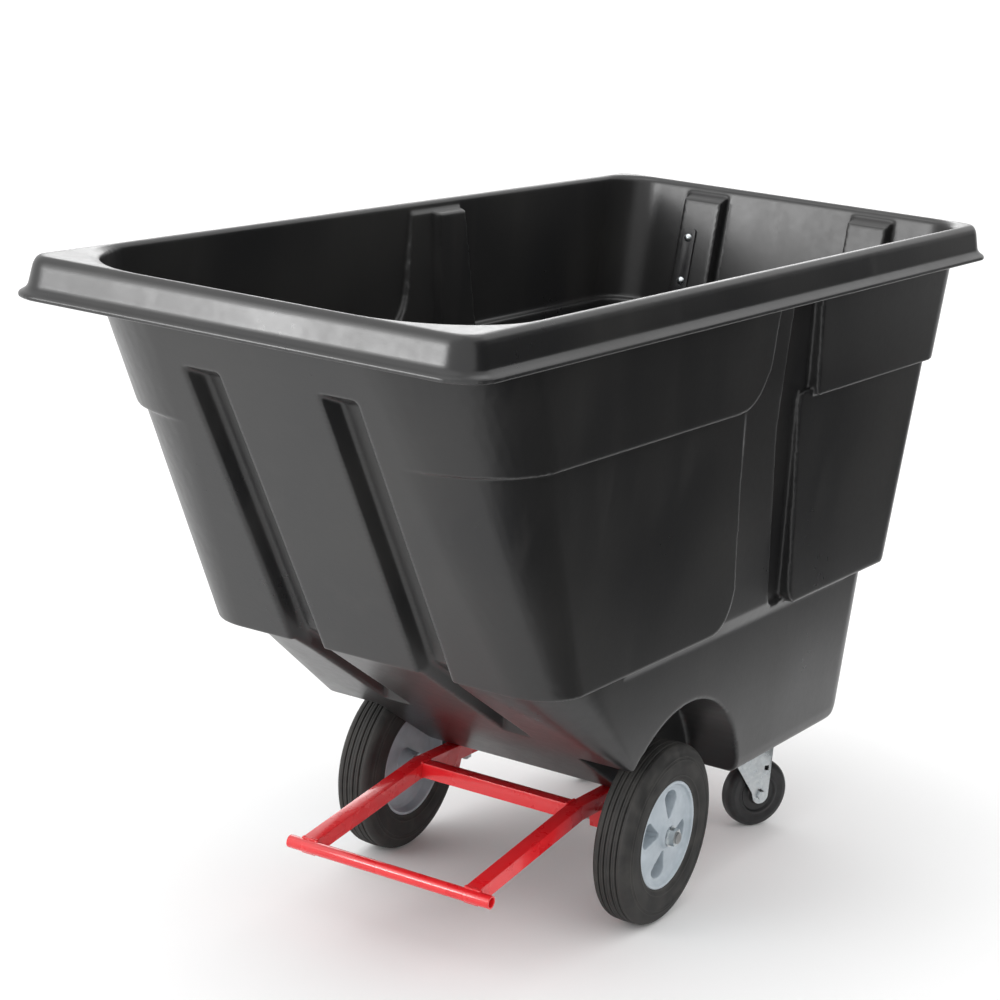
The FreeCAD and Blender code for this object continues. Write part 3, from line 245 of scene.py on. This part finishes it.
finishes = {
    "polyethylene": polyethylene(),
    "frame_paint": frame_paint(),
    "zinc": zinc(),
    "axle_steel": axle_steel(),
    "tyre_rubber": tyre_rubber(),
    "hub_plastic": hub_plastic(),
    "caster_wheel": caster_wheel_black(),
    "handle_paint": handle_paint(),
}


def coat(obj, slot):
    """Give an object the finish of a material slot."""
    obj.data.materials.clear()
    obj.data.materials.append(finishes[slot])


# ---------------------------------------------------------------- mesh helpers


def evaluated(obj):
    """A new mesh with the object's modifiers applied."""
    return bpy.data.meshes.new_from_object(obj.evaluated_get(bpy.context.evaluated_depsgraph_get()))


def stand_for(mesh, name, *replaced):
    """Put a finished mesh in the scene in place of CAD nodes, on their body and with their finish."""
    obj = bpy.data.objects.new(name, mesh)
    bpy.context.scene.collection.objects.link(obj)
    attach(obj, body_of[replaced[0]])
    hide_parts(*replaced)
    coat(obj, slot_of[replaced[0]])
    return obj


def softened(names, voxel, passes):
    """One mesh of CAD nodes with every edge rounded: remeshed at the voxel size, then smoothed."""
    gathered = bmesh.new()
    for name in names:
        gathered.from_mesh(nodes[name].data)
    rough = bpy.data.meshes.new("rough")
    gathered.to_mesh(rough)
    gathered.free()
    obj = bpy.data.objects.new("work", rough)
    bpy.context.scene.collection.objects.link(obj)
    weld = obj.modifiers.new("weld", "WELD")
    weld.merge_threshold = 1e-5
    remesh = obj.modifiers.new("remesh", "REMESH")
    remesh.mode = "VOXEL"
    remesh.voxel_size = voxel
    smooth = obj.modifiers.new("smooth", "SMOOTH")
    smooth.factor = 0.5
    smooth.iterations = passes
    mesh = evaluated(obj)
    bpy.data.objects.remove(obj)
    bpy.data.meshes.remove(rough)
    mesh.shade_smooth()
    return mesh


def soft_copy(voxel, passes, name):
    """Show a CAD node as a piece with softly rounded edges."""
    stand_for(softened([name], voxel, passes), name + "_soft", name)


def rounded_copy(width, name):
    """Show a CAD node as a piece whose sharp edges are beveled by a width and whose faces stay flat."""
    shape = bmesh.new()
    shape.from_mesh(nodes[name].data)
    bmesh.ops.remove_doubles(shape, verts=shape.verts, dist=1e-5)
    bmesh.ops.dissolve_limit(shape, angle_limit=math.radians(1.5), verts=shape.verts, edges=shape.edges)
    sharp = [edge for edge in shape.edges
             if len(edge.link_faces) == 2 and edge.calc_face_angle(0.0) > math.radians(35)]
    bmesh.ops.bevel(shape, geom=sharp, offset=width, segments=3, profile=0.5,
                    affect="EDGES", clamp_overlap=True)
    bmesh.ops.triangulate(shape, faces=[face for face in shape.faces if len(face.verts) > 4])
    mesh = bpy.data.meshes.new(name + "_rounded")
    shape.to_mesh(mesh)
    shape.free()
    mesh.shade_smooth()
    mesh.set_sharp_from_angle(angle=math.radians(32))
    stand_for(mesh, name + "_rounded", name)


def lathe(profile, centre, steps):
    """A closed ring turned about a line along X through the centre, from (across, radius) points."""
    shape = bmesh.new()
    turns = []
    for step in range(steps):
        angle = 2 * math.pi * step / steps
        aim = Vector((0.0, math.cos(angle), math.sin(angle)))
        turns.append([shape.verts.new(centre + Vector((across, 0.0, 0.0)) + aim * radius)
                      for across, radius in profile])
    count = len(profile)
    for here, there in zip(turns, turns[1:] + turns[:1]):
        for index in range(count):
            following = (index + 1) % count
            shape.faces.new((here[index], here[following], there[following], there[index]))
    bmesh.ops.recalc_face_normals(shape, faces=shape.faces)
    mesh = bpy.data.meshes.new("turned")
    shape.to_mesh(mesh)
    shape.free()
    mesh.shade_smooth()
    return mesh


# ---------------------------------------------------------------- hopper


HOPPER_VOXEL = 0.003
stand_for(softened(["hopper"], HOPPER_VOXEL, 6), "hopper_moulding", "hopper")


# ---------------------------------------------------------------- welded frame


def bead_row(shape, start, end, radius):
    """A row of overlapping drops along a weld, slightly uneven."""
    count = max(int((end - start).length / (radius * 0.9)), 2)
    for number in range(count + 1):
        place = start.lerp(end, number / count)
        wobble = Vector((0.0, math.sin(number * 2.3), math.cos(number * 1.7))) * radius * 0.12
        size = radius * (1.0 + 0.13 * math.sin(number * 3.1))
        spot = Matrix.Translation(place + wobble)
        bmesh.ops.create_icosphere(shape, subdivisions=2, radius=size, matrix=spot)


def weld_beads():
    """The welds at the front bar and along the ends of the two cross tubes."""
    shape = bmesh.new()
    bar_low, bar_high = (Vector(corner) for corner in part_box("front_bar"))
    bar = (bar_low + bar_high) / 2
    reach = (bar_high.z - bar_low.z) / 2
    for rail in ("rail_left", "rail_right"):
        low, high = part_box(rail)
        for angle in (68, -4):
            turned = math.radians(angle)
            y = bar.y + reach * math.cos(turned)
            z = bar.z + reach * math.sin(turned)
            bead_row(shape, Vector((low[0] + 0.001, y, z)), Vector((high[0] - 0.001, y, z)), 0.0044)
    for tube in ("front_cross_tube", "rear_cross_tube"):
        low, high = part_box(tube)
        for x in (low[0], high[0]):
            for z in (low[2], high[2]):
                bead_row(shape, Vector((x, low[1], z)), Vector((x, high[1], z)), 0.0026)
    mesh = bpy.data.meshes.new("beads")
    shape.to_mesh(mesh)
    shape.free()
    mesh.shade_smooth()
    beads = bpy.data.objects.new("weld_beads", mesh)
    bpy.context.scene.collection.objects.link(beads)
    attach(beads, body_of["front_bar"])
    coat(beads, slot_of["front_bar"])


for name in ("rail_left", "rail_right", "front_cross_tube", "rear_cross_tube"):
    rounded_copy(0.0026, name)
for name in ("axle_bracket_left", "axle_bracket_right", "caster_mount_left", "caster_mount_right"):
    rounded_copy(0.0012, name)
rounded_copy(0.0005, "front_bar")
weld_beads()


# ---------------------------------------------------------------- wheels


def hump(value, centre, width):
    """A smooth bump of height one about the centre, that many units wide."""
    share = abs(value - centre) / (width / 2)
    return 0.5 + 0.5 * math.cos(math.pi * share) if share < 1 else 0.0


def tyre_profile(half, outer, bore):
    """Half of a tyre's section and its mirror image: bead, ridged side wall, shoulder and grooved tread."""
    points = [(half - 0.0075, bore), (half - 0.0052, bore + 0.0012), (half - 0.0045, bore + 0.004)]
    low = bore + 0.006
    high = outer - 0.016
    steps = 40
    for step in range(steps + 1):
        radius = low + (high - low) * step / steps
        belly = 1 - ((radius - (low + high) / 2) / ((high - low) / 2)) ** 2
        ridges = (hump(radius, bore + 0.010, 0.004) + hump(radius, outer - 0.026, 0.003)
                  + hump(radius, outer - 0.0205, 0.003))
        points.append((half - 0.0042 + 0.0034 * belly + 0.0011 * ridges, radius))
    for step in range(1, 9):
        turned = math.radians(8 + 70 * step / 8)
        across = half - 0.0180 + 0.0140 * math.cos(turned)
        points.append((across, outer - 0.0160 + 0.0150 * math.sin(turned)))
    edge = points[-1][0]
    steps = 72
    tread = []
    for step in range(1, steps):
        across = edge * (1 - 2 * step / steps)
        cuts = sum(hump(across, place / 1000, 0.0042) for place in (-15.5, -6, 6, 15.5))
        lines = sum(hump(across, place / 1000, 0.0022) for place in (-20, -10.7, 0, 10.7, 20))
        crown = outer - 0.0014 * (across / edge) ** 2
        tread.append((across, crown - 0.0040 * min(cuts, 1) - 0.0009 * min(lines, 1)))
    mirrored = [(-across, radius) for across, radius in reversed(points)]
    return points + tread + mirrored


for side in ("left", "right"):
    node = "tyre_" + side
    low, high = (Vector(corner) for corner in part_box(node))
    section = tyre_profile((high.x - low.x) / 2, (high.z - low.z) / 2, 0.091)
    stand_for(lathe(section, (low + high) / 2, 240), "ribbed_" + node, node)
    soft_copy(0.0011, 4, "hub_" + side)
    soft_copy(0.0010, 4, "caster_wheel_" + side)
    rounded_copy(0.0008, "caster_fork_" + side)
    rounded_copy(0.0012, "handle_plate_" + side)

rounded_copy(0.0006, "push_handle")

for name, obj in nodes.items():
    coat(obj, slot_of[name])


# ---------------------------------------------------------------- studio


def axes_of_view(yaw, pitch, roll):
    """Right, up and back axes of a camera that is turned, tipped down and rolled, in degrees."""
    yaw, pitch, roll = (math.radians(angle) for angle in (yaw, pitch, roll))
    ahead = Vector((-math.sin(yaw) * math.cos(pitch), math.cos(yaw) * math.cos(pitch), -math.sin(pitch)))
    right = ahead.cross(Vector((0, 0, 1))).normalized()
    up = right.cross(ahead)
    tilted_right = right * math.cos(roll) + up * math.sin(roll)
    tilted_up = up * math.cos(roll) - right * math.sin(roll)
    return Matrix((tilted_right, tilted_up, -ahead)).transposed()


def place_camera():
    """The camera at the photograph's viewing angle."""
    camera = bpy.data.cameras.new("camera")
    camera.lens = 97.2
    camera.sensor_width = 36.0
    obj = bpy.data.objects.new("camera", camera)
    bpy.context.scene.collection.objects.link(obj)
    place = Matrix.Translation((2.0902, -3.7430, 1.7184))
    obj.matrix_world = place @ axes_of_view(30.3, 13.96, 4.51).to_4x4()
    bpy.context.scene.camera = obj


def soft_box(name, place, aim, width, height, power, highlight_only=False):
    """A rectangular area light turned towards a point; it may show in highlights only."""
    light = bpy.data.lights.new(name, "AREA")
    light.shape = "RECTANGLE"
    light.size = width
    light.size_y = height
    light.energy = power
    obj = bpy.data.objects.new(name, light)
    bpy.context.scene.collection.objects.link(obj)
    obj.location = place
    obj.rotation_euler = (Vector(aim) - Vector(place)).to_track_quat("-Z", "Y").to_euler()
    obj.visible_camera = False
    obj.visible_diffuse = not highlight_only


def make_floor():
    """A large plain pale floor."""
    mesh = bpy.data.meshes.new("floor")
    reach = 40.0
    corners = [(-reach, -reach, 0), (reach, -reach, 0), (reach, reach, 0), (-reach, reach, 0)]
    mesh.from_pydata(corners, [], [(0, 1, 2, 3)])
    floor = bpy.data.objects.new("floor", mesh)
    bpy.context.scene.collection.objects.link(floor)
    made = Finish("floor", specular=0.1)
    mesh.materials.append(made.finish((0.93, 0.93, 0.93, 1.0), 0.9))


def dark_card():
    """A black card on the floor and up the right side, seen only in reflections, that darkens the sides."""
    mesh = bpy.data.meshes.new("card")
    near, far, low, high = -0.9, 5.0, 0.002, 2.0
    inner, outer = 0.72, 1.5
    corners = [(inner, near, low), (inner, far, low), (outer, far, low), (outer, near, low),
               (outer, near, high), (outer, far, high)]
    mesh.from_pydata(corners, [], [(0, 1, 2, 3), (3, 2, 5, 4)])
    card = bpy.data.objects.new("card", mesh)
    bpy.context.scene.collection.objects.link(card)
    made = Finish("card", specular=0.0)
    mesh.materials.append(made.finish((0.01, 0.01, 0.01, 1.0), 1.0))
    card.visible_camera = False
    card.visible_diffuse = False
    card.visible_shadow = False


def light_studio():
    """An even sky, a key from the front left, a fill above and boxes for the highlights of the rim."""
    world = bpy.data.worlds.new("studio")
    world.use_nodes = True
    background = world.node_tree.nodes["Background"]
    background.inputs["Color"].default_value = (1.0, 1.0, 1.0, 1.0)
    background.inputs["Strength"].default_value = 1.15
    bpy.context.scene.world = world
    sun = bpy.data.lights.new("overhead", "SUN")
    sun.energy = 0.5
    sun.angle = math.radians(60)
    obj = bpy.data.objects.new("overhead", sun)
    bpy.context.scene.collection.objects.link(obj)
    obj.rotation_euler = (math.radians(20), math.radians(-18), 0)
    soft_box("key", (-2.2, -4.2, 2.6), (0.0, 0.0, 0.8), 2.4, 1.6, 45)
    soft_box("above", (0.0, 0.3, 2.8), (0.0, 0.1, 0.6), 1.8, 1.2, 9)
    soft_box("front", (-1.7, -3.9, 1.6), (0.0, -0.8, 1.0), 1.8, 0.6, 75, highlight_only=True)
    soft_box("rim", (-2.2, 3.4, 2.3), (0.0, 0.0, 1.0), 3.2, 1.0, 36, highlight_only=True)


place_camera()
make_floor()
dark_card()
light_studio()
bpy.context.scene.view_settings.view_transform = "Standard"
